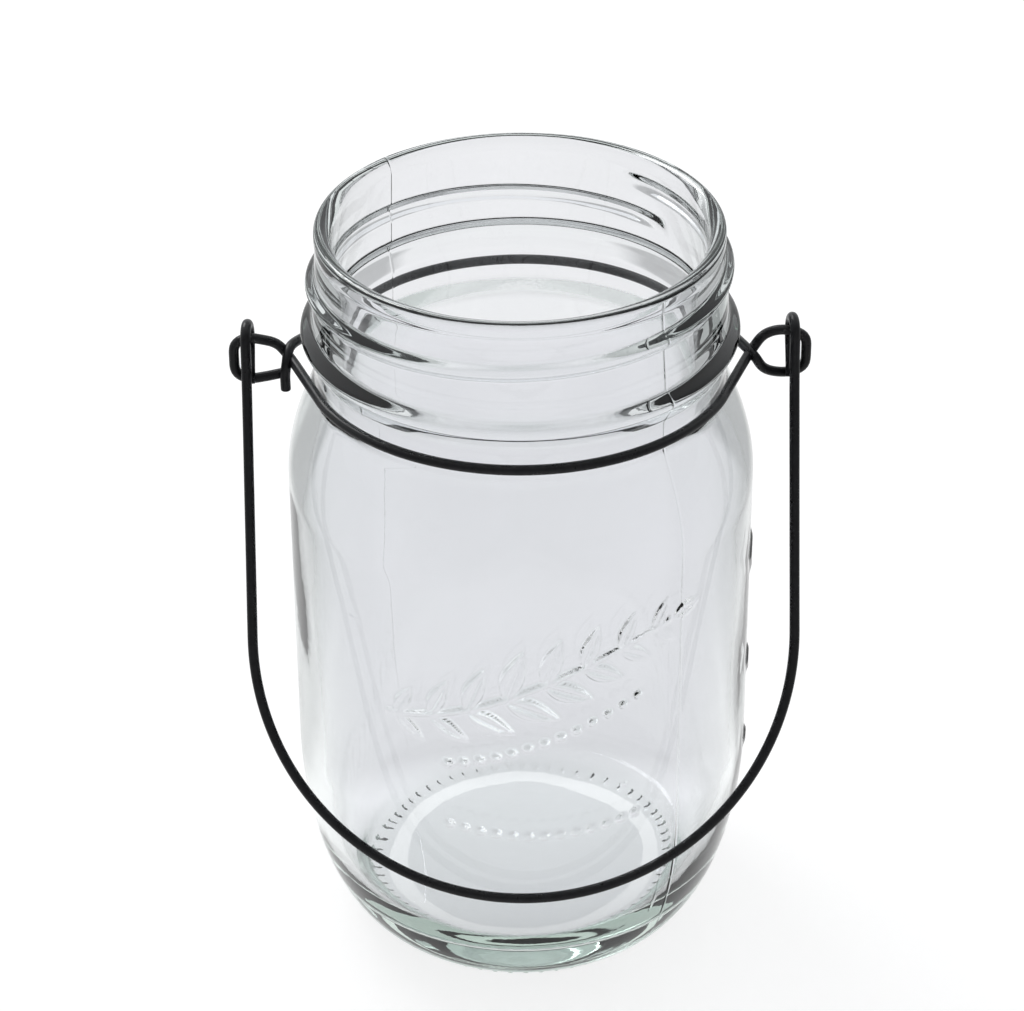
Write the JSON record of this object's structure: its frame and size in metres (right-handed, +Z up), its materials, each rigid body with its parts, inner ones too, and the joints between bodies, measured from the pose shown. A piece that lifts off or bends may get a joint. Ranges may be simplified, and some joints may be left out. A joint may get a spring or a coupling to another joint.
{
  "type": "mason jar lantern",
  "caption": "Open clear glass mason jar with a threaded mouth, a black wire collar twisted into side loops round its neck, and a swinging wire handle to hang it by.",
  "frame": {"origin": "on the jar's axis, in the plane it stands on", "axes": "+Z up along the jar's axis; +X through the right side loop, along the handle's pivot; -Y is the front, where the handle rests"},
  "size_m": [0.096, 0.0795, 0.1334],
  "materials": {
    "jar_glass": "clear pressed soda-lime glass with a faint green-grey tint, gloss",
    "collar_paint": "black enamel on steel wire, semi-gloss",
    "handle_paint": "black enamel on steel wire, semi-gloss"
  },
  "bodies": {
    "jar": {"glass_jar": "jar_glass"},
    "collar": {"neck_collar_wire": "collar_paint"},
    "handle": {"handle_wire": "handle_paint"}
  },
  "joints": [
    {"name": "collar_turn", "type": "hinge", "parent": "jar", "child": "collar", "pos_m": [0, 0, 0.1085], "axis": [0, 0, 1], "continuous": true},
    {"name": "handle_swing", "type": "hinge", "parent": "collar", "child": "handle", "pos_m": [0, 0, 0.1128], "axis": [-1, 0, 0], "range_deg": [0, 309]}
  ]
}
